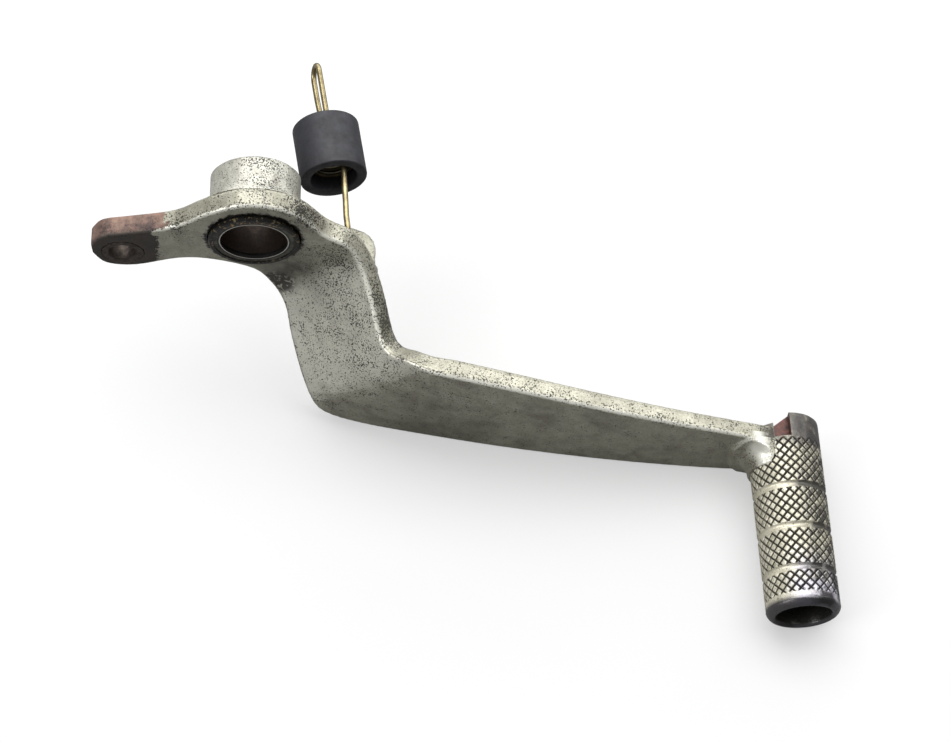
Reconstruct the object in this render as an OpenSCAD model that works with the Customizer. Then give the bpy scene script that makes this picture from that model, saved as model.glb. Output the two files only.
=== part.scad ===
// Rear brake pedal of a motorbike, right-hand side, with its return spring.
// Origin: pivot axis, in the plane of the eye's front face.
// +X runs towards the toe peg, +Z is up, and -Y is outboard, where the peg points.

/* [Pivot] */
// Bore of the pivot bush, for the pivot shaft
pivot_bore = 19; // [15:0.5:22]
// Wall of the pivot bush
bush_wall = 2.3; // [1.5:0.1:3]
// Wall of the pivot tube
tube_wall = 1.4; // [1.2:0.1:3]
// Length of the pivot tube
tube_len = 21.5; // [17:0.5:30]
// How far the pivot tube stands out of the eye's front face
tube_proud = 1.5; // [0.5:0.1:3]
// Width of the eye rim around the pivot tube
eye_rim = 5.5; // [4:0.1:8]
// Throat of the weld between the eye and the pivot tube
hub_weld_size = 4.4; // [2:0.1:5]
// Thickness of a dust seal
seal_t = 1.8; // [1:0.1:3]
// Gap between a seal's lip and the bore's line
seal_gap = 0.3; // [0.1:0.1:1]

/* [Arm] */
// Toe peg axis ahead of the pivot axis
reach = 158; // [130:1:190]
// Toe peg axis below the pivot axis
drop = 51; // [46:1:60]
// Thickness of the arm at the eye
arm_t = 6.4; // [5:0.1:8]
// Thickness of the arm at the toe
toe_t = 5.2; // [4:0.1:7]
// Outboard step of the arm below the eye
step_out = 27; // [15:1:30]
// Outboard sweep of the arm between the step and the toe
sweep_out = 21.5; // [10:0.5:26]
// Depth of the arm just ahead of the elbow
elbow_deep = 43.5; // [36:0.5:50]
// Depth of the arm where its toe starts to close on the peg
toe_deep = 27; // [22:0.5:30]
// Radius along the arm's edges
edge_r = 1.1; // [0.8:0.1:2]

/* [Master cylinder lever] */
// Clevis hole behind the pivot axis
lever_reach = 38.8; // [32:0.2:50]
// Clevis hole below the pivot axis
lever_drop = 7.6; // [3:0.2:10]
// Bore of the clevis bush
clevis_bore = 8; // [6:0.5:9]
// Wall of the clevis bush
clevis_wall = 2.1; // [1.5:0.1:2.6]

/* [Toe peg] */
// Outer diameter of the peg
peg_od = 22; // [18:0.5:26]
// Bore of the peg's open end
peg_bore = 16; // [10:0.5:16]
// Length of the peg
peg_len = 61; // [54:1:70]
// Forward splay of the peg, in degrees
peg_splay = 2.6; // [0:0.2:4]
// Depth of the peg's bore
peg_bore_len = 45; // [20:1:47]
// Knurl diamonds round the peg
knurl_count = 24; // [16:1:30]
// Depth of the knurl
knurl_deep = 0.5; // [0.3:0.05:0.7]
// Grooves between the knurled bands
groove_count = 3; // [1:1:4]
// Depth of a groove
groove_deep = 0.7; // [0.4:0.1:1]

/* [Return spring] */
// Spring wire diameter
wire_d = 1.8; // [1.4:0.1:2]
// Inner radius of the hook that seats in the tab
hook_r = 1.6; // [1.5:0.1:2]
// Outer diameter of the coil
coil_od = 13.2; // [9:0.2:13.2]
// Turns of the coil
coil_turns = 6; // [4:1:7]
// Length of the spring over both hooks
spring_len = 60; // [56:1:68]
// Outer diameter of the rubber sleeve
sleeve_od = 20; // [17:0.5:22]
// Wall of the rubber sleeve
sleeve_wall = 3; // [1.5:0.1:3]
// Length of the rubber sleeve
sleeve_len = 18; // [16:0.5:20]
// Thickness of the spring tab
tab_t = 2.2; // [1.6:0.1:2.4]

/* [Hidden] */
$fn = 96;
small = 0.01;

// Radii of the nested pivot pieces, from the bore outwards
bore_r = pivot_bore / 2;
bush_r = bore_r + bush_wall;
tube_r = bush_r + tube_wall;
eye_r = tube_r + eye_rim;
weld_edge = 0.2;

// Level of the arm's sole and of the peg's underside, where the pedal rests
peg_r = peg_od / 2;
sole = -(drop + peg_r);

// The face of the arm leaves the eye's plane along lines that fall at 45 degrees
step_from = eye_r - 0.2;
step_len = 35;
sweep_from = 8;
sweep_ease = 0.05;
sweep_gain = 1.79;

// Section of the arm
face_cuts = 7;
corner_cuts = 3;
stations = 64;
shoulder = [26, 42];
toe = [54, 64];

// Clevis end
clevis_r = clevis_bore / 2 + clevis_wall;
tip_r = clevis_r + 2.1;

// Toe end: the arm closes to the height of the peg, and is coped round it
arm_end = reach - 6.4;
peg_back = -0.78 * (step_out + sweep_out);
peg_front = peg_back - peg_len;

// Knurl and grooves; the last band of the knurl is shorter than the others
band_smooth = 11.4;
nose_len = 4;
groove_w = 1.9;
last_band = 0.61;
nose_chamfer = 1.8;
tail_round = 1.2;

// Concave neck of weld round the peg, in front of the arm, and the notch in the peg's back end
neck_r = 6;
neck_edge = 1.4;
notch_w = 5;
notch_len = 8;
notch_deep = 4.2;
notch_right = 1.2;
notch_slant = 3.4;

// Spring seat: local x runs down the shoulder, y along the spring, z out of the tab
seat_x = eye_r + 6.8;
seat_z = -8.5;
seat_yaw = 9;
seat_tilt = 38;
seat_room = 1;
wire_r = wire_d / 2;
hook_mid = hook_r + wire_r;
coil_mid = (coil_od - wire_d) / 2;
coil_pitch = wire_d + 0.15;
sleeve_from = 20.3;
coil_from = sleeve_from + 4;
coil_to = coil_from + coil_turns * coil_pitch;
loop_mid = 3.4;
loop_turn = -22;
wire_sides = 8;
turn_steps = 14;
ear_r = 4.7;
ear_at = [6.0, -1.4];
hole_r = wire_r + 0.6;

function mix(a, b, t) = a + (b - a) * t;
function limit(v, lo, hi) = min(max(v, lo), hi);
function ease(t) = let (c = limit(t, 0, 1)) c * c * c * (10 - c * (15 - 6 * c));
function unit(v) = v / norm(v);

// Outboard offset of the arm's front face at a point [x, z] of its outline
function sweep(x) =
    let (u = max(x - sweep_from, 0) / (reach - sweep_from),
         s = sqrt(u * u + sweep_ease * sweep_ease) - sweep_ease)
    sweep_out * s * (sweep_gain - (sweep_gain - 1) * s);
function face_y(p) =
    -step_out * ease(((p[0] - p[1]) / sqrt(2) - step_from) / step_len) - sweep(p[0]);

// Direction through the thickness at that point, from the front face to the back
function through(p, h = 0.05) =
    unit([face_y([p[0] - h, p[1]]) - face_y([p[0] + h, p[1]]), 2 * h,
          face_y([p[0], p[1] - h]) - face_y([p[0], p[1] + h])]);

// Thickness tapers from the elbow to the toe
function thick(x) = mix(arm_t, toe_t, limit((x - 40) / (reach - 60), 0, 1));

// A smooth curve through the points of a rail, at a share u of its length
function rail(pts, u) =
    let (n = len(pts) - 1, s = min(u * n, n - small / 10), i = floor(s), t = s - i,
         a = pts[max(i - 1, 0)], b = pts[i], c = pts[i + 1], d = pts[min(i + 2, n)])
    0.5 * (2 * b + (c - a) * t + (2 * a - 5 * b + 4 * c - d) * t * t
           + (3 * b - a - 3 * c + d) * t * t * t);

function round_eye(angle) = eye_r * [cos(angle), sin(angle)];

// Upper and lower edges of the pedal's outline, from the lever's tip to the toe
cx = -lever_reach;
cz = -lever_drop;
upper_rail = [
    [cx - tip_r - 0.6, cz + 4.4],
    [cx - 5, cz + tip_r + 1.4],
    [cx + 3, cz + tip_r + 3.2],
    [-eye_r - 3.6, cz + 14.5],
    round_eye(132),
    round_eye(90),
    round_eye(48),
    [eye_r + 1.4, 4],
    [eye_r + 8.6, -0.5],
    [eye_r + 14, -11],
    [eye_r + 18.4, sole + elbow_deep - 1.8],
    [eye_r + 27, sole + elbow_deep + 0.4],
    [eye_r + 42, sole + elbow_deep - 0.4],
    [reach - 73, sole + mix(elbow_deep, toe_deep, 0.28)],
    [reach - 33, sole + mix(elbow_deep, toe_deep, 0.87)],
    [reach - 19, sole + toe_deep - 1.4],
    [arm_end, sole + peg_od - 0.2]];
lower_rail = [
    [cx - tip_r - 0.6, cz - 0.8],
    [cx - 5.6, cz - tip_r + 1.4],
    [cx + 3, cz - tip_r],
    [-eye_r - 4, cz - 4.4],
    [-eye_r + 6, cz - 5.6],
    [-1.5, -eye_r - 0.4],
    [3.2, -eye_r - 9.4],
    [6.6, -eye_r - 16],
    [7.9, -eye_r - 21.8],
    [11.6, mix(-eye_r, sole, 0.7)],
    [17.5, sole + 3.2],
    [eye_r + 10, sole],
    [eye_r + 32, sole],
    [reach - 80, sole],
    [reach - 38, sole],
    [reach - 20, sole],
    [arm_end, sole + 0.5]];

// Section loop [a, d]: a across the arm from its upper edge, d through its thickness
function section(w, t) =
    let (r = min(edge_r, t / 2 - small, w / 2 - small), step = 90 / corner_cuts)
    concat(
        [for (i = [0:face_cuts]) [mix(r, w - r, i / face_cuts), 0]],
        [for (k = [1:corner_cuts]) [w - r + r * sin(k * step), r - r * cos(k * step)]],
        [for (k = [0:corner_cuts - 1]) [w - r + r * cos(k * step), t - r + r * sin(k * step)]],
        [for (i = [0:face_cuts]) [mix(w - r, r, i / face_cuts), t]],
        [for (k = [1:corner_cuts]) [r - r * sin(k * step), t - r + r * cos(k * step)]],
        [for (k = [0:corner_cuts - 1]) [r - r * cos(k * step), r - r * sin(k * step)]]);

function mirrored(list) = [for (i = [len(list) - 1:-1:0]) list[i]];
function arm_ring(u) =
    let (top = rail(upper_rail, u), low = rail(lower_rail, u), w = norm(low - top),
         across = (low - top) / w)
    [for (q = mirrored(section(w, thick(top[0]))))
        let (p = top + across * q[0], n = through(p) * q[1])
        [p[0] + n[0], face_y(p) + n[1], p[1] + n[2]]];

// Closes a list of equal rings into one solid, with flat ends
module loft(rings) {
    m = len(rings[0]);
    last = len(rings) - 1;
    sides = [for (i = [0:last - 1]) for (k = [0:m - 1])
        let (a = i * m + k, b = i * m + (k + 1) % m)
        each [[a, b, b + m], [a, b + m, a + m]]];
    first_cap = [for (k = [1:m - 2]) [0, k + 1, k]];
    last_cap = [for (k = [1:m - 2]) [last * m, last * m + k, last * m + k + 1]];
    polyhedron([for (ring = rings) each ring], concat(sides, first_cap, last_cap), convexity = 8);
}

// The arm without its bores, or the stretch of it between two stations
module arm_blank(from = 0, to = stations) {
    loft([for (i = [from:to]) arm_ring(i / stations)]);
}

// Turns a profile drawn as [radius, y] about the pivot axis
module about_pivot(profile) {
    rotate([-90, 0, 0]) rotate_extrude() polygon([for (p = profile) [p[0], p[1]]]);
}

// A plain ring about the pivot axis from y0 to y1
module ring(r_in, r_out, y0, y1) {
    about_pivot([[r_in, y0], [r_out, y0], [r_out, y1], [r_in, y1]]);
}

// Forged arm: master cylinder lever, pivot eye, stepped arm
module pedal_arm() {
    color("silver") difference() {
        arm_blank();
        translate([0, -tube_proud, 0]) rotate([-90, 0, 0]) cylinder(r = tube_r, h = tube_len);
        translate([cx, -1, cz]) rotate([-90, 0, 0]) cylinder(r = clevis_r, h = arm_t + 2);
        peg_room();
    }
}

tube_y0 = -tube_proud;
tube_y1 = tube_y0 + tube_len;

module pivot_tube() {
    color("silver")
        about_pivot([[bush_r, tube_y0], [tube_r - 0.4, tube_y0], [tube_r, tube_y0 + 0.4],
                     [tube_r, tube_y1 - 0.6], [tube_r - 0.6, tube_y1], [bush_r, tube_y1]]);
}

// Concave weld between the back of the eye and the pivot tube
module hub_weld() {
    weld_arc = [for (a = [0:15:90])
        [tube_r + weld_edge + hub_weld_size * (1 - sin(a)),
         arm_t + weld_edge + hub_weld_size * (1 - cos(a))]];
    color("silver")
        about_pivot(concat([[tube_r, arm_t], [tube_r + weld_edge + hub_weld_size, arm_t]], weld_arc,
                           [[tube_r, arm_t + weld_edge + hub_weld_size]]));
}

module pivot_bush() {
    color("dimgray") ring(bore_r, bush_r, tube_y0 + seal_t, tube_y1 - seal_t);
}

module seal(y0, y1) {
    color("black") ring(bore_r + seal_gap, bush_r, y0, y1);
}

module seal_front() {
    seal(tube_y0 + 0.3, tube_y0 + seal_t);
}

module seal_back() {
    seal(tube_y1 - seal_t, tube_y1 - 0.3);
}

// Pressed-in bush for the master cylinder's clevis pin
module clevis_bush() {
    lead = 0.4;
    color("dimgray") translate([cx, 0, cz])
        about_pivot([[clevis_bore / 2 + lead, 0], [clevis_r, 0], [clevis_r, arm_t],
                     [clevis_bore / 2 + lead, arm_t], [clevis_bore / 2, arm_t - lead],
                     [clevis_bore / 2, lead]]);
}

// Toe peg rows: [y, radius, knurl depth], from the arm's side to the open end
row_step = PI * peg_od / knurl_count / 2;
knurl_y0 = peg_back - band_smooth;
knurl_y1 = peg_front + nose_len;
band_len = (knurl_y0 - knurl_y1 - groove_count * groove_w) / (groove_count + last_band);

function band_y(g) = knurl_y0 - g * (band_len + groove_w);
function band(g) =
    let (span = band_len * (g < groove_count ? 1 : last_band), rows = max(2, round(span / row_step)))
    [for (i = [0:rows]) [band_y(g) - span * i / rows, peg_r, i == 0 || i == rows ? 0 : knurl_deep]];
function groove(g) = [for (a = [30:40:150])
    [band_y(g) - band_len - groove_w * (0.5 - cos(a) / 2), peg_r - groove_deep * sin(a), 0]];
peg_rows = concat(
    [[peg_back, peg_r - tail_round, 0], [peg_back - 0.3 * tail_round, peg_r - 0.3 * tail_round, 0],
     [peg_back - tail_round, peg_r, 0]],
    [for (g = [0:groove_count]) each concat(band(g), g < groove_count ? groove(g) : [])],
    [[peg_front + nose_chamfer, peg_r - 0.1, 0], [peg_front + 0.6, peg_r - 0.7, 0],
     [peg_front, peg_r - nose_chamfer, 0]]);

// Peaks and valleys alternate along a row and from row to row, which makes the diamonds
function peg_ring(i) =
    let (row = peg_rows[i], columns = 2 * knurl_count)
    [for (k = [0:columns - 1])
        let (r = row[1] - ((k + i) % 2 == 0 ? row[2] : 0), a = 360 * k / columns)
        [r * cos(a), row[0], r * sin(a)]];

// The skin is split along the valleys, so that each groove of the knurl is a straight line
module peg_skin() {
    m = 2 * knurl_count;
    last = len(peg_rows) - 1;
    sides = [for (i = [0:last - 1]) for (k = [0:m - 1])
        let (a = i * m + k, b = i * m + (k + 1) % m)
        each (k + i) % 2 == 0 ? [[a, b + m, b], [a, a + m, b + m]] : [[a, a + m, b], [b, a + m, b + m]]];
    caps = [[for (k = [0:m - 1]) k], [for (k = [m - 1:-1:0]) last * m + k]];
    polyhedron([for (i = [0:last]) each peg_ring(i)], concat(sides, caps), convexity = 8);
}

// Puts what is drawn about the peg's own axis in its place; the splay turns about the nose
module at_peg() {
    translate([reach, peg_front, -drop]) rotate([0, 0, peg_splay])
        translate([0, -peg_front, 0]) children();
}

module toe_peg() {
    color("silver") at_peg() difference() {
        peg_skin();
        translate([0, peg_front + peg_bore_len, 0]) rotate([90, 0, 0])
            cylinder(d = peg_bore, h = peg_bore_len + 1);
        translate([notch_right, peg_back, peg_r - notch_deep]) linear_extrude(2 * notch_deep)
            polygon([[0, 1], [0, -notch_len], [-notch_w, -notch_len], [-notch_w, -notch_slant],
                     [-peg_od, -notch_slant - 1], [-peg_od, 1]]);
        translate([notch_right, peg_back, -peg_od]) linear_extrude(2 * peg_od)
            polygon([[0, 0], [0, 1], [-peg_od, 1], [-peg_od, -notch_slant - 1], [-notch_w, -notch_slant]]);
    }
}

// Room that the peg takes in the pieces that are coped round it
module peg_room() {
    at_peg() translate([0, peg_back + 2, 0]) rotate([90, 0, 0]) cylinder(r = peg_r, h = peg_len);
}

// Flared neck of weld round the peg's flank, in front of the arm
module peg_weld() {
    face = face_y([reach - peg_r, -drop]);
    back = face + toe_t / 2;
    flare = concat([[peg_r - 1, back], [peg_r + neck_r, back]],
        [for (a = [0:15:90]) [peg_r + neck_r * (1 - sin(a)), face - neck_r * (1 - cos(a))]],
        [[peg_r - 1, face - neck_r]]);
    color("silver") difference() {
        intersection() {
            at_peg() about_pivot(flare);
            translate([0, 0, -drop]) rotate([90, 0, 0]) linear_extrude(peg_len) hull()
                for (p = [[reach - peg_r / 2, peg_r - 0.4], [reach - peg_r - neck_r, toe_deep - peg_r - 2]])
                    for (z = [neck_edge - peg_r + 0.5, p[1] - neck_edge])
                        translate([p[0], z]) circle(neck_edge, $fn = 24);
        }
        peg_room();
        arm_blank(toe[0], toe[1]);
    }
}

// The hook lies just behind the arm's back face
seat = [seat_x, face_y([seat_x, seat_z]) + arm_t + wire_r + seat_room, seat_z];

// Local y of the middle of the arm's thickness, s along the ear's root
function root_y(s) =
    face_y([seat[0] + s * cos(seat_tilt), seat[2] - s * sin(seat_tilt)]) + 0.6 * arm_t - seat[1];

module at_seat() {
    translate(seat) rotate([0, 0, seat_yaw]) rotate([0, seat_tilt, 0]) children();
}

module tab_plate() {
    at_seat() difference() {
        translate([0, 0, -tab_t / 2]) linear_extrude(tab_t) hull() {
            translate(ear_at) circle(ear_r, $fn = 48);
            translate([-0.6, 0.4]) circle(ear_r - 1.2, $fn = 48);
            polygon([for (s = [-4, 3, 8]) [s, root_y(s)]]);
        }
        translate([0, 0, -tab_t]) cylinder(r = hole_r, h = 2 * tab_t);
    }
}

// Rounded ear behind the shoulder, with the hole that holds the spring's hook
module spring_tab() {
    color("silver") difference() {
        tab_plate();
        arm_blank(shoulder[0], shoulder[1]);
    }
}

// Weld bead along the root of the ear
module tab_weld() {
    color("silver") difference() {
        at_seat() hull() for (s = [3, 8])
            translate([s, root_y(s) + 0.55 * arm_t, 0]) sphere(tab_t, $fn = 24);
        arm_blank(shoulder[0], shoulder[1]);
        tab_plate();
    }
}

// Centre line of the spring's wire, in the seat's own axes
function hook_path() = concat(
    [for (y = [hook_mid + 3.4, hook_mid + 1.6]) [0, y, -hook_mid]],
    [for (a = [-90:22.5:90]) [0, hook_mid * (1 - cos(a)), hook_mid * sin(a)]],
    [[0, 6, hook_mid + 0.2], [0, 11, hook_mid + 1.1], [0, 16, hook_mid + 1.8]]);
function coil_path() = [for (i = [0:coil_turns * turn_steps])
    let (a = 90 - 360 * i / turn_steps)
    [coil_mid * cos(a), coil_from + coil_pitch * i / turn_steps, coil_mid * sin(a)]];
function loop_path() =
    let (far = spring_len - loop_mid)
    [for (q = concat([[coil_to + 2.2, loop_mid + 0.3], [coil_to + 6, loop_mid]],
                     [for (a = [90:-22.5:-90]) [far + loop_mid * cos(a), loop_mid * sin(a)]],
                     [[far - 6, -loop_mid], [far - 12, -loop_mid + 0.6]]))
        [q[1] * sin(loop_turn), q[0], q[1] * cos(loop_turn)]];

// A round wire swept along a path; each ring carries on the turn of the one before it
function tangent(path, i) = unit(path[min(i + 1, len(path) - 1)] - path[max(i - 1, 0)]);
function across_of(v, t) = unit(v - (v * t) * t);
function wire_rings(path, r) =
    [for (i = 0, n = across_of([1, 0.01, 0], tangent(path, 0)); i < len(path);
          i = i + 1, n = across_of(n, tangent(path, min(i, len(path) - 1))))
        let (b = cross(n, tangent(path, i)))
        [for (k = [0:wire_sides - 1]) path[i]
            + r * (cos(360 * k / wire_sides) * n + sin(360 * k / wire_sides) * b)]];

// Return spring: seat hook, close coil and long hook, bent from one wire
module return_spring() {
    color("goldenrod") at_seat()
        loft(wire_rings(concat(hook_path(), coil_path(), loop_path()), wire_r));
}

// Rubber sleeve that silences the coil
module spring_sleeve() {
    color("#26272b") at_seat() translate([0, sleeve_from, 0]) rotate([-90, 0, 0]) difference() {
        cylinder(d = sleeve_od, h = sleeve_len);
        translate([0, 0, -1]) cylinder(d = sleeve_od - 2 * sleeve_wall, h = sleeve_len + 2);
    }
}

pedal_arm();
pivot_tube();
hub_weld();
pivot_bush();
seal_front();
seal_back();
clevis_bush();
toe_peg();
peg_weld();
spring_tab();
tab_weld();
return_spring();
spring_sleeve();
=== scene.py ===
# %% [markdown]
# A motorbike's rear brake pedal, lying on a white table. The solid model is loaded first and is
# never moved: every piece that is made here takes its place from it.

from math import cos, floor, pi, radians, sin, sqrt

import bpy
from mathutils import Matrix, Vector


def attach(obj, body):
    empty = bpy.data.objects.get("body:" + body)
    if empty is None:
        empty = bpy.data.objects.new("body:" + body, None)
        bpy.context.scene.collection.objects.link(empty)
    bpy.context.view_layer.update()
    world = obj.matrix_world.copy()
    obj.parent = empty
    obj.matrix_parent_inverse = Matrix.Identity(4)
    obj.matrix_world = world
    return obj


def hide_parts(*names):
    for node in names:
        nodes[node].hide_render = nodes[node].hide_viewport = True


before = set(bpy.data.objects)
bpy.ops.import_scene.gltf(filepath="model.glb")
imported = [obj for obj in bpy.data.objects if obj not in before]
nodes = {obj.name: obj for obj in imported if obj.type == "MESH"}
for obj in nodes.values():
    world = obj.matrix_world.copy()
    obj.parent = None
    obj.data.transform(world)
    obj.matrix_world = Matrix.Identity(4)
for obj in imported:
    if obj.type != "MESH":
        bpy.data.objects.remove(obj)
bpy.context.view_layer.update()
MM = 0.001

# %% [markdown]
# The camera stands in front of the pedal and looks steeply down at it, as a person does who has
# put the part on a table and leans over it. The lens is long, so the shape is hardly squeezed.

# %% Camera
TABLE_Z = -62 * MM
camera_data = bpy.data.cameras.new("camera")
camera_data.sensor_width = 36
camera_data.lens = 94.74
camera = bpy.data.objects.new("camera", camera_data)
camera.location = (0.059467, -0.353703, 0.630628)
camera.rotation_euler = (radians(26.2), 0, radians(-0.7))
bpy.context.scene.collection.objects.link(camera)
bpy.context.scene.camera = camera
print("camera", round((camera.location - Vector((0.06, -0.03, TABLE_Z))).length, 3), "m away")

# %% [markdown]
# Every colour is written as the hex value that one would pick from a picture, and one function
# turns it to the linear values that shaders want. One more function adds a node with its
# settings and links, and the short ones after it name what a mask is made of: sums, products,
# noise, and a ramp from 0 to 1. They keep each material's recipe short enough to read.

# %% Helpers for materials


def colour(hex_value):
    parts = [int(hex_value[i:i + 2], 16) / 255 for i in (1, 3, 5)]
    return [c / 12.92 if c <= 0.04045 else ((c + 0.055) / 1.055) ** 2.4 for c in parts] + [1]


def add(tree, kind, links=None, inputs=None, **settings):
    """A new node: settings are its properties, inputs its constants, links its sources."""
    node = tree.nodes.new(kind)
    for name, value in settings.items():
        setattr(node, name, value)
    for key, value in (inputs or {}).items():
        node.inputs[key].default_value = value
    for key, source in (links or {}).items():
        tree.links.new(source, node.inputs[key])
    return node


def new_material(name):
    made = bpy.data.materials.new(name)
    made.use_nodes = True
    made.node_tree.nodes.clear()
    return made, made.node_tree


def surface(tree):
    """The place on the part, the same place by axis, and the way the surface faces by axis."""
    place = add(tree, "ShaderNodeTexCoord").outputs["Object"]
    axes = add(tree, "ShaderNodeSeparateXYZ", {0: place}).outputs
    normal = add(tree, "ShaderNodeNewGeometry").outputs["Normal"]
    return place, axes, add(tree, "ShaderNodeSeparateXYZ", {0: normal}).outputs


def calc(tree, operation, first, second=None, clamp=False):
    node = add(tree, "ShaderNodeMath", operation=operation, use_clamp=clamp)
    for socket, value in zip(node.inputs, (first, second)):
        if isinstance(value, (int, float)):
            socket.default_value = value
        elif value is not None:
            tree.links.new(value, socket)
    return node.outputs[0]


def plus(tree, first, second):
    return calc(tree, "ADD", first, second)


def minus(tree, first, second, clamp=False):
    return calc(tree, "SUBTRACT", first, second, clamp)


def times(tree, first, second, clamp=False):
    return calc(tree, "MULTIPLY", first, second, clamp)


def positive(tree, value):
    return calc(tree, "MAXIMUM", value, 0)


def ramp(tree, value, start, end):
    """0 at start, 1 at end, and straight between them."""
    return add(tree, "ShaderNodeMapRange", {0: value}, inputs={1: start, 2: end}).outputs[0]


def cloud(tree, place, per_metre, detail, rough=0.5):
    return add(tree, "ShaderNodeTexNoise", {"Vector": place},
               inputs={"Scale": per_metre, "Detail": detail, "Roughness": rough}).outputs["Fac"]


def spots(tree, place, size_mm, low, high, detail=2.0, rough=0.6, shift=(0, 0, 0)):
    """Patches of about size_mm: 0 below the noise value low, 1 above high."""
    moved = add(tree, "ShaderNodeVectorMath", {0: place}, operation="ADD", inputs={1: shift})
    return ramp(tree, cloud(tree, moved.outputs[0], 1 / (size_mm * MM), detail, rough), low, high)


def near(tree, axes, x_mm, z_mm, radius_mm):
    """1 at a point [x, z] of the part's side view, falling to 0 at the radius."""
    squares = [calc(tree, "POWER", minus(tree, axes[axis], value * MM), 2)
               for axis, value in (("X", x_mm), ("Z", z_mm))]
    distance = calc(tree, "SQRT", plus(tree, *squares))
    return add(tree, "ShaderNodeMapRange", {0: distance}, interpolation_type="SMOOTHSTEP",
               inputs={1: radius_mm * MM, 2: 0.0}).outputs[0]


def from_pivot(tree, axes):
    """The distance from the pivot's axis."""
    squares = [calc(tree, "POWER", axes[axis], 2) for axis in ("X", "Z")]
    return calc(tree, "SQRT", plus(tree, *squares))


def blend(tree, share, under, over):
    """Colour over, laid on under by share; colours are hex values or sockets."""
    node = add(tree, "ShaderNodeMix", data_type="RGBA")
    factor, first, second = node.inputs[0], node.inputs[6], node.inputs[7]
    for socket, value in ((factor, share), (first, under), (second, over)):
        if isinstance(value, str):
            socket.default_value = colour(value)
        elif isinstance(value, (int, float)):
            socket.default_value = value
        else:
            tree.links.new(value, socket)
    return node.outputs[2]


def coat(tree, base, mask, strength, tone):
    """The base with a tone over it, where the mask is, at a strength from 0 to 1."""
    return blend(tree, times(tree, mask, strength), base, tone)


def finish_material(tree, base, roughness, bump, bump_mm, **constants):
    """Joins the principled shader: base and roughness are sockets, the rest are constants."""
    shader = add(tree, "ShaderNodeBsdfPrincipled", {"Base Color": base, "Roughness": roughness},
                 inputs=constants)
    relief = add(tree, "ShaderNodeBump", {"Height": bump},
                 inputs={"Strength": 1.0, "Distance": bump_mm * MM})
    tree.links.new(relief.outputs[0], shader.inputs["Normal"])
    add(tree, "ShaderNodeOutputMaterial", {"Surface": shader.outputs[0]})


# %% [markdown]
# The silver paint is an aluminium-flake lacquer sprayed over forged steel. It is grey and dull
# from the side and bright where it faces the lamp. Years of use have peppered it with small black
# specks, worn it brown at the short lever, and left a ring of black grease round the pivot. Each
# of these is a mask made from noise of a real size, or from the distance to a point on the part.

# %% Silver paint on the arm
METAL = 0.4
GREASE_R = 14.3
RUST_AT, RUST_FADE = -28, 7
# Places on the arm's side view: x, z and radius in mm
ELBOW_SHADE = (50, -56, 26)
OUTER_EDGE = (42, -28, 26)
GREASY = (10, -17, 15)
SCRAPED = (5, -25, 7.5)
NECK_TOP = (147, -41, 4.5)
NOTCH_SIDE = (152.5, -40.5, 7)
# The same, with how much denser the pepper is there
PEPPERED = ((20, -7, 12, 0.10), (27, -22, 20, 0.045), (4, 13, 12, 0.05), (-21, 4, 9, 0.09),
            (151, -40, 9, 0.05), (15, 11, 9, 0.11), (60, -40, 60, 0.015))


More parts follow.
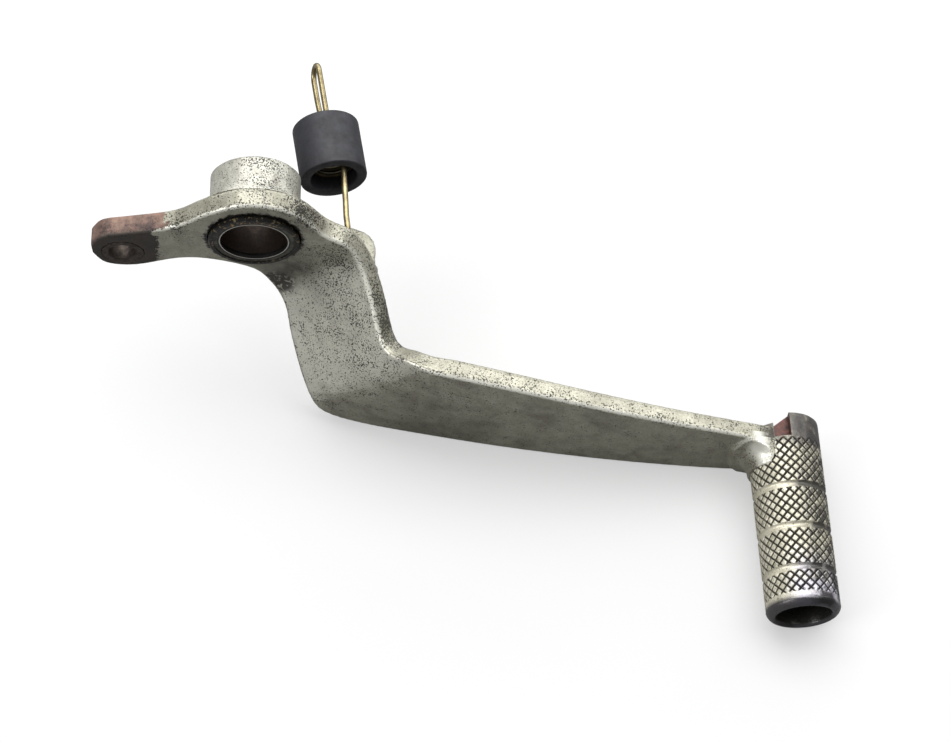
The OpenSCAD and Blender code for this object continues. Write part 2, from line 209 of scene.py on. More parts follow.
def silver_paint(name, light, dark):
    made, tree = new_material(name)
    place, axes, facing = surface(tree)
    upward, outward = positive(tree, facing["Z"]), positive(tree, facing["X"])
    forward = minus(tree, 0, facing["Y"])

    # Uneven spraying, brown stains, the grain of the flakes, and painted shade on the elbow
    base = blend(tree, spots(tree, place, 5, 0.32, 0.7, detail=5, rough=0.65), dark, light)
    stain = spots(tree, place, 11, 0.46, 0.66, detail=6, rough=0.7, shift=(0.3, 0.1, 0))
    base = coat(tree, base, stain, 0.5, "#554E42")
    flakes = spots(tree, place, 0.5, 0.4, 0.6, shift=(0, 0.2, 0))
    base = coat(tree, base, flakes, 0.3, "#6F6E62")
    elbow_shade = times(tree, near(tree, axes, *ELBOW_SHADE), spots(tree, place, 6, 0.1, 0.5, detail=5))
    base = coat(tree, base, elbow_shade, 0.5, "#4F4E44")

    # A painted highlight on the face's rounded corner, and painted shade in a thin line beside it
    corner = times(tree, calc(tree, "MAXIMUM", facing["X"], facing["Z"]), forward)
    rim_highlight = ramp(tree, corner, 0.16, 0.44)
    shade_line = minus(tree, ramp(tree, corner, 0.02, 0.08), rim_highlight, clamp=True)
    base = coat(tree, base, rim_highlight, 0.75, "#F2F1E6")

    # Fine pepper of pinholes in the paint: denser on faces that look up and near a few places
    # Faces that look outward near the outer edge: more pepper, and painted shade further down
    outer_specks_and_shade = times(tree, near(tree, axes, *OUTER_EDGE), outward)
    outer_specks_and_shade = times(tree, outer_specks_and_shade, calc(tree, "LESS_THAN", axes["Y"], -1 * MM))
    dense = times(tree, upward, 0.045)
    dense = plus(tree, dense, times(tree, outer_specks_and_shade, 0.16))
    # Painted shade: more pepper in the thin line beside the painted highlight
    dense = plus(tree, dense, times(tree, shade_line, 0.045))
    for x_mm, z_mm, radius_mm, gain in PEPPERED:
        dense = plus(tree, dense, times(tree, near(tree, axes, x_mm, z_mm, radius_mm), gain))
    broad = times(tree, minus(tree, cloud(tree, place, 260, 3), 0.5), 0.25)
    grain = plus(tree, cloud(tree, place, 2000, 3, 0.6), broad)
    pepper = ramp(tree, plus(tree, grain, dense), 0.632, 0.655)
    base = coat(tree, base, pepper, 0.9, "#14130F")

    # A few larger chips down to dark steel
    chips = spots(tree, place, 3.4, 0.72, 0.74, detail=5, rough=0.75, shift=(0.05, 0, 0.02))
    base = coat(tree, base, chips, 0.8, "#2C261F")

    # Greasy shade below the pivot, the paint scraped off at the arm's edge under the eye, and
    # painted shade in a darker band along the arm's outer edge
    shade = times(tree, near(tree, axes, *GREASY), spots(tree, place, 5, 0.15, 0.55, detail=5))
    base = coat(tree, base, shade, 0.85, "#34322A")
    scrape = times(tree, near(tree, axes, *SCRAPED), 2.2, clamp=True)
    scrape = times(tree, scrape, spots(tree, place, 1.3, 0.40, 0.48, detail=4))
    base = coat(tree, base, scrape, 0.9, "#2A2320")
    base = coat(tree, base, outer_specks_and_shade, 0.75, "#5A594D")

    # A painted highlight on the neck's top, and smoke on the arm's end beside the notch
    neck_highlight = times(tree, near(tree, axes, *NECK_TOP), 1.5, clamp=True)
    neck_highlight = times(tree, neck_highlight, calc(tree, "LESS_THAN", axes["Y"], -45 * MM))
    base = blend(tree, neck_highlight, base, "#DEDDD2")
    smoke = times(tree, near(tree, axes, *NOTCH_SIDE), 1.7, clamp=True)
    smoke = times(tree, smoke, spots(tree, place, 3, 0.3, 0.5, detail=5))
    smoke = times(tree, smoke, calc(tree, "GREATER_THAN", axes["Y"], -46.5 * MM))
    base = coat(tree, base, smoke, 0.85, "#2B2521")

    # Rust where the push rod's fork rubs on the short lever, dusty on top, with painted shade
    # that makes it dark in front
    lever = ramp(tree, axes["X"], (RUST_AT + RUST_FADE) * MM, (RUST_AT - RUST_FADE) * MM)
    bloom = minus(tree, spots(tree, place, 6, 0.0, 1.0, detail=8, rough=0.75), 0.9)
    rust = plus(tree, times(tree, lever, 1.6), times(tree, bloom, 1.8))
    rust = ramp(tree, plus(tree, rust, times(tree, upward, 0.4)), 0.10, 0.18)
    tone = blend(tree, spots(tree, place, 4, 0.35, 0.65, detail=4), "#85695C", "#43302F")
    # Painted shade: the rust's faces that look forward are darkened
    tone = coat(tree, tone, positive(tree, forward), 0.95, "#1F1815")
    base = coat(tree, base, rust, 0.93, tone)

    # Black grease with gold flecks, ragged at its rim, on the front of the eye
    ragged = times(tree, minus(tree, cloud(tree, place, 420, 5, 0.7), 0.5), 5 * MM)
    radius = plus(tree, from_pivot(tree, axes), ragged)
    ring = ramp(tree, radius, (GREASE_R + 0.5) * MM, (GREASE_R - 0.1) * MM)
    ring = times(tree, ring, calc(tree, "LESS_THAN", axes["Y"], 0.6 * MM))
    gold = times(tree, spots(tree, place, 1.1, 0.58, 0.63, shift=(0.4, 0, 0)),
                 calc(tree, "LESS_THAN", axes["Y"], -0.4 * MM))
    base = blend(tree, ring, base, blend(tree, gold, "#12110E", "#6E6148"))

    # Orange peel of the spray and dents of the forging, with the pinholes and chips sunk in
    rough = plus(tree, 0.34, times(tree, rust, 0.22))
    relief = plus(tree, times(tree, cloud(tree, place, 900, 3), 0.35),
                  cloud(tree, place, 190, 3))
    for pit in (pepper, chips, scrape):
        relief = minus(tree, relief, times(tree, pit, 0.3))
    finish_material(tree, base, rough, relief, 0.12, Metallic=METAL)
    return made


arm_paint = silver_paint("aluminium flake lacquer on forged steel", "#B6B4A4", "#9B9988")
# A lighter copy of the same lacquer on the tube and its weld: painted light, as there they catch
# the lamp behind
tube_paint_lit = silver_paint("aluminium flake lacquer on drawn tube", "#CAC9BE", "#B8B7AC")
print("paint made for the arm and for the tube")

# %% [markdown]
# The toe peg has the same lacquer, but boots have rubbed it. Dirt fills the valleys of the
# knurl, and near the nose the tops of the diamonds are polished to bare steel. The knurl's own
# height is kept on the mesh as an attribute, so that the dirt follows the real shape.

# %% Worn paint on the knurled peg


def kept(tree, mark):
    """What the mesh keeps under this name, such as the height of the knurl."""
    return add(tree, "ShaderNodeAttribute", attribute_name=mark).outputs["Fac"]


def peg_finish():
    made, tree = new_material("worn lacquer over knurled steel")
    place, axes, facing = surface(tree)
    groove = kept(tree, "groove")

    base = blend(tree, spots(tree, place, 4, 0.3, 0.7, detail=5), "#A3A08C", "#DFDAC8")
    # Painted highlight: the turned grooves are coated lighter
    base = coat(tree, base, groove, 0.6, "#D2CDB8")
    base = coat(tree, base, spots(tree, place, 0.55, 0.58, 0.66), 0.6, "#2A2822")

    # Bare polished tops towards the nose on the outer side, and dark bare steel on the nose
    nose = ramp(tree, axes["Y"], -0.080, -0.093)
    outer = ramp(tree, axes["X"], 0.1515, 0.156)
    rub = plus(tree, 0.35, spots(tree, place, 4, 0.3, 0.6, detail=4, shift=(0.1, 0.1, 0)))
    polished = times(tree, times(tree, nose, outer), rub, clamp=True)
    base = blend(tree, polished, base, "#B4B1BA")
    tip = times(tree, ramp(tree, axes["Y"], -0.0958, -0.0972), 0.93)
    base = blend(tree, tip, base, "#37353B")

    # Dirt in the valleys, broken here and there, and soot patches with painted shade on the side
    # away from the bike
    broken = plus(tree, 0.45, spots(tree, place, 1.3, 0.25, 0.5, detail=3))
    valley = ramp(tree, kept(tree, "knurl_height"), 0.95, 0.3)
    dirt = times(tree, valley, times(tree, kept(tree, "knurled"), broken), clamp=True)
    base = coat(tree, base, dirt, 0.9, "#22211A")
    sooty = plus(tree, spots(tree, place, 4, 0.35, 0.55, detail=4), times(tree, groove, 0.6))
    # Painted shade: the soot is laid on more, the more a face looks towards +X
    soot_and_shade = times(tree, ramp(tree, facing["X"], -0.2, 0.35), sooty, clamp=True)
    base = coat(tree, base, soot_and_shade, 0.92, "#1E1C1A")

    # Smoky dark steel on the back end, and rust inside the notch
    smoky = plus(tree, 0.45, spots(tree, place, 4, 0.3, 0.55, detail=5))
    smoke = times(tree, ramp(tree, axes["Y"], -0.0490, -0.0455), smoky, clamp=True)
    base = coat(tree, base, smoke, 0.85, "#3F3C3B")
    tone = blend(tree, spots(tree, place, 1.8, 0.35, 0.65, detail=4), "#5A3229", "#2A1A16")
    base = blend(tree, kept(tree, "cut_face"), base, tone)

    # The bore of the peg is bare and dark
    base = blend(tree, kept(tree, "bore"), base, "#34332F")
    smooth = times(tree, calc(tree, "MAXIMUM", polished, tip), 0.12)
    finish_material(tree, base, minus(tree, 0.38, smooth), cloud(tree, place, 1100, 3), 0.10,
                    Metallic=METAL)
    return made


peg_paint = peg_finish()
print("peg finish made")

# %% [markdown]
# The small parts: a steel bush with brown old grease, rubber seals, a rusty bush for the clevis
# pin, spring wire that is yellow from its zinc plating, and a matt rubber sleeve.

# %% Bush, seals, spring wire and rubber
FINE_GRAIN = (1400, 3)
LIP_EDGE, CASE_FROM, CASE_FULL = 10.10 * MM, 10.55 * MM, 10.7 * MM


def plain_finish(name, light, dark, patch_mm, rough_low, rough_high, relief_mm, **constants):
    made, tree = new_material(name)
    place, axes, facing = surface(tree)
    patches = spots(tree, place, patch_mm, 0.3, 0.7, detail=5)
    rough = plus(tree, rough_low, times(tree, patches, rough_high - rough_low))
    finish_material(tree, blend(tree, patches, light, dark), rough,
                    cloud(tree, place, *FINE_GRAIN), relief_mm, **constants)
    return made


def seal_finish():
    """Rubber lip in a steel case: a painted highlight at the bore, black lip, greasy olive case.
    """
    made, tree = new_material("greasy seal with steel case")
    place, axes, facing = surface(tree)
    radius = from_pivot(tree, axes)
    olive = blend(tree, spots(tree, place, 2.0, 0.35, 0.6, detail=4), "#55544A", "#26251F")
    gold = times(tree, spots(tree, place, 1.2, 0.52, 0.6, detail=3, shift=(0.3, 0, 0)),
                 calc(tree, "GREATER_THAN", axes["Z"], 8 * MM))
    olive = blend(tree, gold, olive, "#B08A52")
    base = blend(tree, ramp(tree, radius, CASE_FROM, CASE_FULL), "#141312", olive)
    # Painted highlight: a thin bright line on the lip's front edge at the bore
    lip_highlight = times(tree, calc(tree, "LESS_THAN", radius, LIP_EDGE),
                 calc(tree, "LESS_THAN", facing["Y"], -0.5))
    base = blend(tree, lip_highlight, base, "#B9B5AC")
    finish_material(tree, base, minus(tree, 0.42, times(tree, lip_highlight, 0.15)),
                    cloud(tree, place, *FINE_GRAIN), 0.04, Metallic=0.3)
    return made


def spring_finish():
    """Yellow zinc plating, with dirt and painted shade where the coil lies in the rubber."""
    made, tree = new_material("yellow zinc plated spring wire")
    place, axes, facing = surface(tree)
    coil = kept(tree, "in_sleeve")
    base = blend(tree, spots(tree, place, 3, 0.3, 0.7, detail=5), "#AFA27C", "#6B6044")
    # Dirt and painted shade on the coil inside the sleeve
    base = coat(tree, base, coil, 0.88, "#1D1A15")
    finish_material(tree, base, plus(tree, 0.3, times(tree, coil, 0.2)),
                    cloud(tree, place, *FINE_GRAIN), 0.02, Metallic=0.9)
    return made


bush_steel = plain_finish("greasy turned steel", "#3E322A", "#1C1815", 2.5, 0.3, 0.5, 0.03,
                          Metallic=0.7)
clevis_steel = plain_finish("rusty turned steel", "#4A4038", "#1F1A17", 1.5, 0.35, 0.6, 0.05,
                            Metallic=0.6)
seal_rubber = seal_finish()
spring_zinc = spring_finish()
sleeve_rubber = plain_finish("moulded rubber sleeve", "#23242A", "#16161B", 3.5, 0.5, 0.68, 0.05)

for node_name, finish in (("pivot_tube", tube_paint_lit), ("hub_weld", tube_paint_lit),
                          ("pivot_bush", bush_steel), ("clevis_bush", clevis_steel),
                          ("seal_front", seal_rubber), ("seal_back", seal_rubber)):
    nodes[node_name].data.materials.clear()
    nodes[node_name].data.materials.append(finish)
print("finishes on the solid nodes that stay")

# %% [markdown]
# On the real pedal the arm, its eye and its welds are under one coat of paint, and the welds
# flow into the arm. Copies of those solids are joined and remeshed with fine voxels, which melts
# their edges together like weld and paint do, and a few smoothing passes take out the facets.

# %% Helpers for pieces


def only(*objects):
    """Selects these objects alone and makes the first one active."""
    bpy.ops.object.select_all(action="DESELECT")
    for o in objects:
        o.select_set(True)
    bpy.context.view_layer.objects.active = objects[0]


def copy_of(node_name, piece_name):
    """A copy of a solid node, as its own mesh with its loose triangles merged."""
    piece = nodes[node_name].copy()
    piece.data = nodes[node_name].data.copy()
    piece.name = piece.data.name = piece_name
    piece.parent = None
    for key in list(piece.keys()):
        del piece[key]
    bpy.context.scene.collection.objects.link(piece)
    only(piece)
    bpy.ops.object.mode_set(mode="EDIT")
    bpy.ops.mesh.select_all(action="SELECT")
    bpy.ops.mesh.remove_doubles(threshold=1e-6)
    bpy.ops.object.mode_set(mode="OBJECT")
    return piece


def drawn(name, points_mm, edges=(), faces=()):
    """A new object in the scene from points in mm, and alone selected."""
    mesh = bpy.data.meshes.new(name)
    mesh.from_pydata([tuple(value * MM for value in point) for point in points_mm], edges, faces)
    made = bpy.data.objects.new(name, mesh)
    bpy.context.scene.collection.objects.link(made)
    only(made)
    return made


def apply(piece, kind, **settings):
    """Adds a modifier with its settings and applies it."""
    only(piece)
    modifier = piece.modifiers.new(kind.lower(), kind)
    for name, value in settings.items():
        setattr(modifier, name, value)
    bpy.ops.object.modifier_apply(modifier=modifier.name)


def done(piece, finish, slot, body, *replaced):
    """Gives a piece its material and body and smooths its shading; the slot is not used."""
    piece.data.materials.clear()
    piece.data.materials.append(finish)
    only(piece)
    bpy.ops.object.shade_smooth_by_angle(angle=radians(40))
    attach(piece, body)
    if replaced:
        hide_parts(*replaced)
    print(piece.name, len(piece.data.polygons), "faces")


# %% [markdown]
# The weld between the arm and the peg is wide and hollow, like the bell of a trumpet. Its outline
# is turned once round the peg's axis, and the turned ring is trimmed on three sides to what the
# arm carries.

# %% Flare of weld round the peg
AXIS_X, AXIS_Z, FACE_Y, FLARE_R = 155.2, -51.0, -46.6, 7.4
FLARE_INNER, FLARE_OUTER = 9.5, 11
FLARE_TRIMS = (((151.5, 0, 0), (1, 0, 0)), ((150, 0, -42.3), (0.16, 0, 1)),
               ((0, 0, -61.8), (0, 0, -1)))
profile = [(FLARE_INNER, FACE_Y + 2), (FLARE_OUTER + FLARE_R, FACE_Y + 2)]
for angle in range(0, 91, 10):
    profile.append((FLARE_OUTER + FLARE_R * (1 - sin(radians(angle))),
                    FACE_Y - FLARE_R * (1 - cos(radians(angle)))))
profile.append((FLARE_INNER, FACE_Y - FLARE_R))
neck_flare = drawn("neck_flare", [(AXIS_X + r, y, AXIS_Z) for r, y in profile],
                   edges=[(i, (i + 1) % len(profile)) for i in range(len(profile))])
bpy.ops.object.mode_set(mode="EDIT")
bpy.ops.mesh.select_all(action="SELECT")
bpy.ops.mesh.spin(steps=72, angle=2 * pi, center=(AXIS_X * MM, 0, AXIS_Z * MM), axis=(0, 1, 0))
bpy.ops.mesh.select_all(action="SELECT")
bpy.ops.mesh.remove_doubles(threshold=1e-6)
for at, normal in FLARE_TRIMS:
    bpy.ops.mesh.select_all(action="SELECT")
    bpy.ops.mesh.bisect(plane_co=Vector(at) * MM, plane_no=normal, use_fill=True,
                        clear_outer=True)
bpy.ops.mesh.select_all(action="SELECT")
bpy.ops.mesh.normals_make_consistent(inside=False)
bpy.ops.object.mode_set(mode="OBJECT")
print("flare turned and trimmed:", len(neck_flare.data.polygons), "faces")

# %% [markdown]
# After the remesh, the corner of the arm that stands over the peg is eased down to the peg's own
# surface, so that the arm's top runs onto the peg without a step.

# %% Painted arm
ARM_NODES = ("pedal_arm", "peg_weld", "spring_tab", "tab_weld")
EASE_FROM, EASE_TOP, EASE_SLOPE, EASE_CURVE = 134, -35.0, 0.27, 0.0035
arm_copies = [copy_of(name, "part_" + name) for name in ARM_NODES] + [neck_flare]
only(*arm_copies)
bpy.ops.object.join()
painted_arm = arm_copies[0]
painted_arm.name = painted_arm.data.name = "painted_arm"
apply(painted_arm, "REMESH", mode="VOXEL", voxel_size=0.5 * MM)
for vertex in painted_arm.data.vertices:
    along = vertex.co.x / MM - EASE_FROM
    if along > 0:
        top = EASE_TOP - EASE_SLOPE * along - EASE_CURVE * along ** 2
        vertex.co.z = min(vertex.co.z, top * MM)
apply(painted_arm, "SMOOTH", factor=0.5, iterations=3)
done(painted_arm, arm_paint, "arm_paint", "pedal", *ARM_NODES)

# %% [markdown]
# The toe peg is a steel tube with a diamond knurl rolled into it and three plain grooves turned
# over that. A flat grid is wrapped into the tube: each of its rows is one station along the
# peg, and its columns go round. The knurl is two families of V grooves at about 45 degrees, so
# the height at a point is its distance from the nearest groove of either family.

# %% Knurled toe peg
PEG_BACK, PEG_FRONT, PEG_R, PEG_Z = -37.83, -98.83, 10.9, -51.0
DIAMONDS, PITCH, KNURL, GROOVE, GROOVE_HALF = 24, 2.8, 0.5, 0.6, 0.95
GROOVES_AT = (-61.23, -74.19, -87.14)
KNURL_BACK, KNURL_FRONT = -46.0, -94.83
BORE_R, BORE_DEEP = 8.0, 45.0
PER_DIAMOND = 12
COLUMNS = DIAMONDS * PER_DIAMOND
# Distance from the end and radius: the rounded back end, the nose with its chamfer, the bore
BACK_END = ((-0.001, 6.0), (0, 9.4), (-0.3, 10.2), (-0.9, 10.75),
            (-1.6, PEG_R), (-3.5, PEG_R), (-6, PEG_R))
NOSE = ((2.0, 10.95), (1.4, 10.75), (0.8, 10.4), (0.35, 9.95), (0.08, 9.5), (0, 9.0),
        (0.05, 8.6), (0.3, 8.25))
BORE = ((0.9, BORE_R), (5, BORE_R), (15, BORE_R), (30, BORE_R), (BORE_DEEP - 0.5, BORE_R),
        (BORE_DEEP, BORE_R - 0.6), (BORE_DEEP, 2.0))


def ramp01(value, low, high):
    return min(max((value - low) / (high - low), 0), 1)


def groove_depth(y):
    return max(sqrt(max(1 - ((y - g) / GROOVE_HALF) ** 2, 0)) for g in GROOVES_AT)


def knurl_share(y):
    """1 where the knurl is at full height, falling to 0 at the ends of its bands."""
    share = ramp01(y, KNURL_FRONT, KNURL_FRONT + 0.5) * ramp01(y, KNURL_BACK, KNURL_BACK - 0.9)
    for g in GROOVES_AT:
        share *= ramp01(abs(y - g), GROOVE_HALF, 1.3)
    return share


def knurl_height(turn, y):
    """0 in a valley, 1 on the flat top of a diamond."""
    first, second = DIAMONDS * turn + y / PITCH, DIAMONDS * turn - y / PITCH
    gap = min(abs(first - floor(first + 0.5)), abs(second - floor(second + 0.5)))
    return ramp01(gap, 0.02, 0.17)


# Stations along the peg, from the back end to the bottom of the bore: y, radius, share of knurl
stations = [(PEG_BACK + d, r, 0) for d, r in BACK_END]
y = -PITCH * 16
while y > PEG_FRONT + 2.0:
    stations.append((y, PEG_R - GROOVE * groove_depth(y), knurl_share(y)))
    y -= PITCH / PER_DIAMOND
stations += [(PEG_FRONT + d, r, 0) for d, r in NOSE + BORE]
bore_from = len(stations) - len(BORE)

bpy.ops.object.select_all(action="DESELECT")
bpy.ops.mesh.primitive_grid_add(x_subdivisions=COLUMNS, y_subdivisions=len(stations) - 1, size=1)
knurled_peg = bpy.context.object
knurled_peg.name = knurled_peg.data.name = "knurled_peg"
MARKS = ("knurl_height", "knurled", "groove", "bore")
for mark in MARKS:
    knurled_peg.data.attributes.new(mark, "FLOAT", "POINT")
heights, on_knurl, in_groove, in_bore = [knurled_peg.data.attributes[mark] for mark in MARKS]
for i, vertex in enumerate(knurled_peg.data.vertices):
    column = round((vertex.co.x + 0.5) * COLUMNS)
    row = round((vertex.co.y + 0.5) * (len(stations) - 1))
    y, r, share = stations[row]
    turn = (column % COLUMNS) / COLUMNS
    height = knurl_height(turn, y)
    r -= KNURL * share * (1 - height)
    deep = groove_depth(y) if PEG_BACK > y > PEG_FRONT and row < bore_from else 0
    heights.data[i].value = height
    on_knurl.data[i].value = share
    in_groove.data[i].value = deep
    in_bore.data[i].value = 1.0 if row >= bore_from else 0.0
    vertex.co = Vector((r * cos(2 * pi * turn), y, r * sin(2 * pi * turn))) * MM
only(knurled_peg)
bpy.ops.object.mode_set(mode="EDIT")
bpy.ops.mesh.select_all(action="SELECT")
bpy.ops.mesh.remove_doubles(threshold=1e-7)
bpy.ops.mesh.select_all(action="DESELECT")
bpy.ops.mesh.select_non_manifold()
bpy.ops.mesh.fill_holes(sides=0)
bpy.ops.mesh.select_all(action="SELECT")
bpy.ops.mesh.normals_make_consistent(inside=False)
bpy.ops.object.mode_set(mode="OBJECT")
print("peg wrapped:", len(stations), "stations,", COLUMNS, "columns")

# %% [markdown]
# A notch is cut into the top of the peg's back end, next to the weld. A block is drawn in plan,
# pulled up, and taken away from the peg; beside it a deeper wedge makes room for the arm's end.
# The walls of the notch are marked, so that rust shows only there.

# %% Notch in the peg's back end
NOTCH = ((1.2, 1), (1.2, -8), (-3.8, -8), (-3.8, -3.4), (-22, -4.4), (-22, 1))
WEDGE = ((1.2, 0), (1.2, 1), (-22, 1), (-22, -4.4), (-3.8, -3.4))
NOTCH_FLOOR, WEDGE_FLOOR, CUT_TOP = PEG_R - 4.2, -22, 15
faces_before = len(knurled_peg.data.polygons)
for outline, floor_z in ((NOTCH, NOTCH_FLOOR), (WEDGE, WEDGE_FLOOR)):
    notch_cutter = drawn("notch_cutter", [(x, PEG_BACK + depth, floor_z) for x, depth in outline],
                         faces=[list(range(len(outline)))])
    bpy.ops.object.mode_set(mode="EDIT")
    bpy.ops.mesh.select_all(action="SELECT")
    bpy.ops.mesh.extrude_region_move(
        TRANSFORM_OT_translate={"value": (0, 0, (CUT_TOP - floor_z) * MM)})
    bpy.ops.mesh.select_all(action="SELECT")
    bpy.ops.mesh.normals_make_consistent(inside=False)
    bpy.ops.object.mode_set(mode="OBJECT")
    apply(knurled_peg, "BOOLEAN", operation="DIFFERENCE", object=notch_cutter, solver="EXACT")
    bpy.data.objects.remove(notch_cutter)
cut = knurled_peg.data.attributes.new("cut_face", "FLOAT", "FACE")
for i, face in enumerate(knurled_peg.data.polygons):
    middle = face.center / MM
    inside = sqrt(middle.x ** 2 + middle.z ** 2) < PEG_R - 0.08
    in_notch = middle.x < 1.25 and PEG_BACK - 1 > middle.y > -46.5
    cut.data[i].value = 1.0 if inside and in_notch else 0.0
print("notch and wedge cut:", faces_before, "faces, then", len(knurled_peg.data.polygons))

# %% Peg in its place
REACH, SPLAY = 158, radians(2.6)
to_nose = Matrix.Translation(Vector((REACH, PEG_FRONT, PEG_Z)) * MM)
to_origin = Matrix.Translation((0, -PEG_FRONT * MM, 0))
knurled_peg.data.transform(to_nose @ Matrix.Rotation(SPLAY, 4, "Z") @ to_origin)
done(knurled_peg, peg_paint, "peg_paint", "pedal", "toe_peg")

# %% [markdown]
# The spring is bent from one round wire: a hook through the tab, a close coil inside the
# rubber, and a long narrow loop for the anchor on the frame. A curve with a round bevel follows
# the same line as the solid, and is then made a mesh. It is drawn along Y from the hook, and
# SEAT turns it into its place at the tab.

# %% Return spring
SEAT = (Matrix.Translation(Vector((25.5, 4.6066, -8.5)) * MM)
        @ Matrix.Rotation(radians(9), 4, "Z") @ Matrix.Rotation(radians(38), 4, "Y"))
WIRE_R, HOOK_MID, COIL_MID, LOOP_MID = 0.86, 2.5, 5.7, 3.4
COIL_FROM, COIL_PITCH, TURNS, SPRING_LEN = 24.3, 1.95, 6, 60.0
COIL_TO = COIL_FROM + TURNS * COIL_PITCH
LOOP_TURN = radians(-22)
ROUND_STEPS = 28

line = [(0, HOOK_MID + 3.4, -HOOK_MID), (0, HOOK_MID + 1.6, -HOOK_MID)]
line += [(0, HOOK_MID * (1 - cos(radians(a))), HOOK_MID * sin(radians(a)))
         for a in range(-90, 91, 15)]
line += [(0, 6, HOOK_MID + 0.2), (0, 11, HOOK_MID + 1.1), (0, 16, HOOK_MID + 1.8)]
line += [(COIL_MID * sin(2 * pi * i / ROUND_STEPS), COIL_FROM + COIL_PITCH * i / ROUND_STEPS,
          COIL_MID * cos(2 * pi * i / ROUND_STEPS)) for i in range(TURNS * ROUND_STEPS + 1)]
far = SPRING_LEN - LOOP_MID
loop = [(COIL_TO + 2.2, LOOP_MID + 0.3), (COIL_TO + 6, LOOP_MID)]
loop += [(far + LOOP_MID * cos(radians(a)), LOOP_MID * sin(radians(a)))
         for a in range(90, -91, -15)]
loop += [(far - 6, -LOOP_MID), (far - 12, -LOOP_MID + 0.6)]
line += [(q * sin(LOOP_TURN), p, q * cos(LOOP_TURN)) for p, q in loop]

wire_curve = bpy.data.curves.new("spring_wire", "CURVE")
wire_curve.dimensions = "3D"
wire_curve.bevel_depth = WIRE_R * MM
wire_curve.bevel_resolution = 3
wire_curve.use_fill_caps = True
spline = wire_curve.splines.new("POLY")
spline.points.add(len(line) - 1)
for point, place in zip(spline.points, line):
    point.co = (*(Vector(place) * MM), 1)
spring_wire = bpy.data.objects.new("spring_wire", wire_curve)
bpy.context.scene.collection.objects.link(spring_wire)
only(spring_wire)
bpy.ops.object.convert(target="MESH")
in_sleeve = spring_wire.data.attributes.new("in_sleeve", "FLOAT", "POINT")
for i, vertex in enumerate(spring_wire.data.vertices):
    covered = COIL_FROM - 1.5 < vertex.co.y / MM < COIL_TO + 1.5
    in_sleeve.data[i].value = 1.0 if covered else 0.0
spring_wire.data.transform(SEAT)
done(spring_wire, spring_zinc, "spring_wire", "spring", "return_spring")

# %% [markdown]
# The sleeve is a length of thick rubber tube that stops the coil from ringing. It is a circle
# pulled out to a tube, given its wall with Solidify, and rounded at the rims with a bevel.

# %% Rubber sleeve
SLEEVE_FROM, SLEEVE_LEN, SLEEVE_R, SLEEVE_WALL = 20.3, 18.0, 10.0, 3.0
SLEEVE_STEPS = 6
bpy.ops.object.select_all(action="DESELECT")
bpy.ops.mesh.primitive_circle_add(vertices=64, radius=SLEEVE_R * MM, location=(0, 0, 0),
                                  rotation=(radians(90), 0, 0))
rubber_sleeve = bpy.context.object
rubber_sleeve.name = rubber_sleeve.data.name = "rubber_sleeve"
bpy.ops.object.transform_apply(location=True, rotation=True, scale=True)
bpy.ops.object.mode_set(mode="EDIT")
bpy.ops.mesh.select_all(action="SELECT")
for _ in range(SLEEVE_STEPS):
    bpy.ops.mesh.extrude_region_move(
        TRANSFORM_OT_translate={"value": (0, SLEEVE_LEN / SLEEVE_STEPS * MM, 0)})
bpy.ops.mesh.select_all(action="SELECT")
bpy.ops.mesh.normals_make_consistent(inside=False)
bpy.ops.object.mode_set(mode="OBJECT")
wall_face = rubber_sleeve.data.polygons[0]
if wall_face.normal.dot(Vector((wall_face.center.x, 0, wall_face.center.z))) < 0:
    rubber_sleeve.data.flip_normals()
apply(rubber_sleeve, "SOLIDIFY", thickness=SLEEVE_WALL * MM, offset=-1, use_even_offset=True)
apply(rubber_sleeve, "BEVEL", width=0.5 * MM, segments=3, limit_method="ANGLE",
      angle_limit=radians(50))
rubber_sleeve.data.transform(SEAT @ Matrix.Translation((0, SLEEVE_FROM * MM, 0)))
done(rubber_sleeve, sleeve_rubber, "sleeve_rubber", "spring", "spring_sleeve")

# %% [markdown]
# The table is a white sheet lit softly from above and from behind, with a window on the left. The
# lamps are large, so the shadow is a faint streak under the pedal. To the camera the floor is
# white, partly by its own light, and its shadow is kept; to the part it gives back less light, so
# that the pedal's front stays as dark as on a photograph. The room's wall is white to the camera
# in the same way, and gives the part only a faint light.

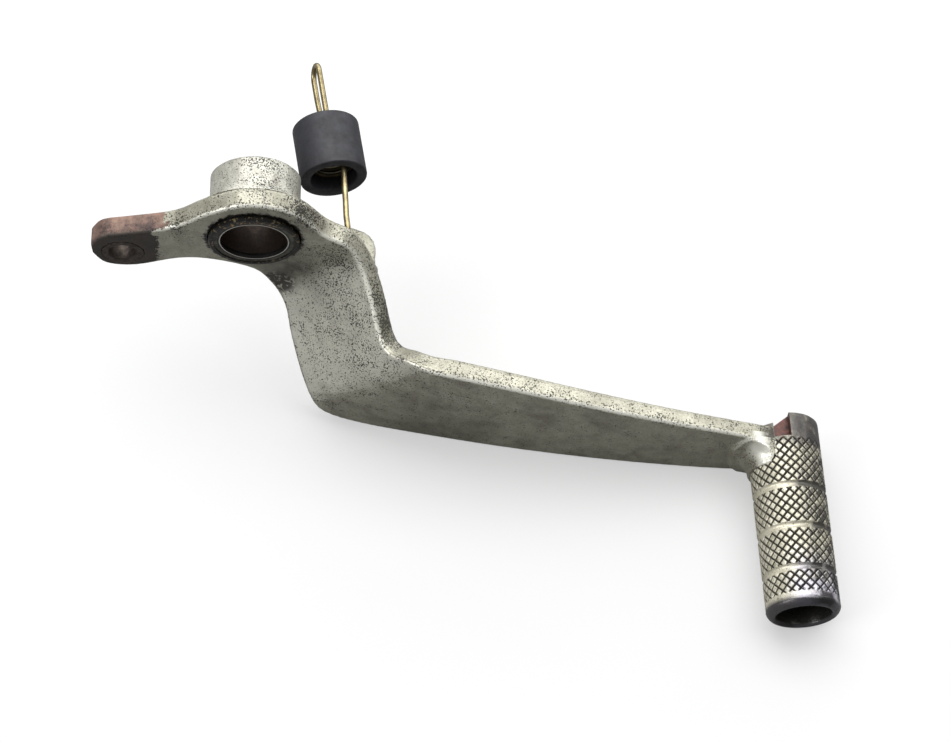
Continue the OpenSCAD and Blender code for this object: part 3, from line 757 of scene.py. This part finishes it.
# %% Table, lamps and world
OWN_LIGHT = 0.45
bpy.ops.object.select_all(action="DESELECT")
bpy.ops.mesh.primitive_plane_add(size=4, location=(0.05, 0, TABLE_Z - 0.2 * MM))
table = bpy.context.object
table.name = "table"
table_white, tree = new_material("matt white table")
to_camera = add(tree, "ShaderNodeLightPath").outputs["Is Camera Ray"]
lit = add(tree, "ShaderNodeBsdfDiffuse", inputs={"Color": colour("#D6D6D6")})
glow = add(tree, "ShaderNodeEmission", inputs={"Color": colour("#F8F8F8"), "Strength": 1.0})
seen = add(tree, "ShaderNodeMixShader", {1: lit.outputs[0], 2: glow.outputs[0]},
           inputs={0: OWN_LIGHT})
bounce = add(tree, "ShaderNodeBsdfDiffuse", inputs={"Color": colour("#848484")})
both = add(tree, "ShaderNodeMixShader",
           {0: to_camera, 1: bounce.outputs[0], 2: seen.outputs[0]})
add(tree, "ShaderNodeOutputMaterial", {"Surface": both.outputs[0]})
table.data.materials.append(table_white)

world = bpy.data.worlds.new("soft room")
bpy.context.scene.world = world
world.use_nodes = True
tree = world.node_tree
tree.nodes.clear()
sky = add(tree, "ShaderNodeBackground", inputs={"Color": colour("#F4F4F6"), "Strength": 0.3})
wall = add(tree, "ShaderNodeBackground", inputs={"Color": colour("#FCFCFC"), "Strength": 1.0})
to_camera = add(tree, "ShaderNodeLightPath").outputs["Is Camera Ray"]
backdrop = add(tree, "ShaderNodeMixShader",
               {0: to_camera, 1: sky.outputs[0], 2: wall.outputs[0]})
add(tree, "ShaderNodeOutputWorld", {"Surface": backdrop.outputs[0]})


def lamp(name, place, aim, size, power):
    data = bpy.data.lights.new(name, "AREA")
    data.shape = "RECTANGLE"
    data.size, data.size_y = size
    data.energy = power
    made = bpy.data.objects.new(name, data)
    made.location = place
    made.rotation_euler = (Vector(aim) - Vector(place)).to_track_quat("-Z", "Y").to_euler()
    bpy.context.scene.collection.objects.link(made)


lamp("window above", (0.20, 0.36, 0.95), (0.06, 0, -0.03), (1.9, 0.8), 20.0)
lamp("window on the left", (-0.85, -0.35, 0.75), (0.06, 0, -0.03), (0.7, 0.7), 7.0)
lamp("window behind", (0.35, 1.3, 0.42), (0.05, 0, -0.03), (3.4, 0.85), 22.0)
bpy.context.scene.view_settings.view_transform = "Standard"
print("table and lamps set")
